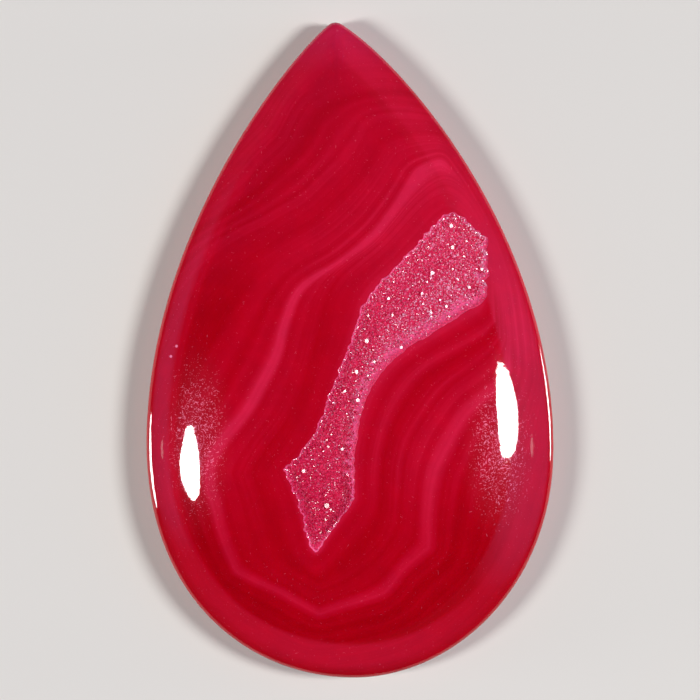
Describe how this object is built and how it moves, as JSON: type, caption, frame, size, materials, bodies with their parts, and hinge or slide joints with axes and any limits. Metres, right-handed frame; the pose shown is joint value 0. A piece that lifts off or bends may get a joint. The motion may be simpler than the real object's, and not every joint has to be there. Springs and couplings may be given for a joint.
{
  "type": "druzy agate cabochon",
  "caption": "Pear-shaped polished agate cabochon with a flat back, a low dome and an open hollow lined with small quartz crystals.",
  "frame": {"origin": "middle of the stone's box, on its flat back", "axes": "+Z out of the domed face, +Y along the length towards the pointed tip, +X across the width to the right as seen from above"},
  "size_m": [0.032, 0.0516, 0.0054],
  "materials": {
    "agate": "polished, banded",
    "druse": "crystalline, sparkling"
  },
  "bodies": {
    "root": {"agate_stone": "agate", "druzy_crust": "druse"}
  },
  "joints": []
}
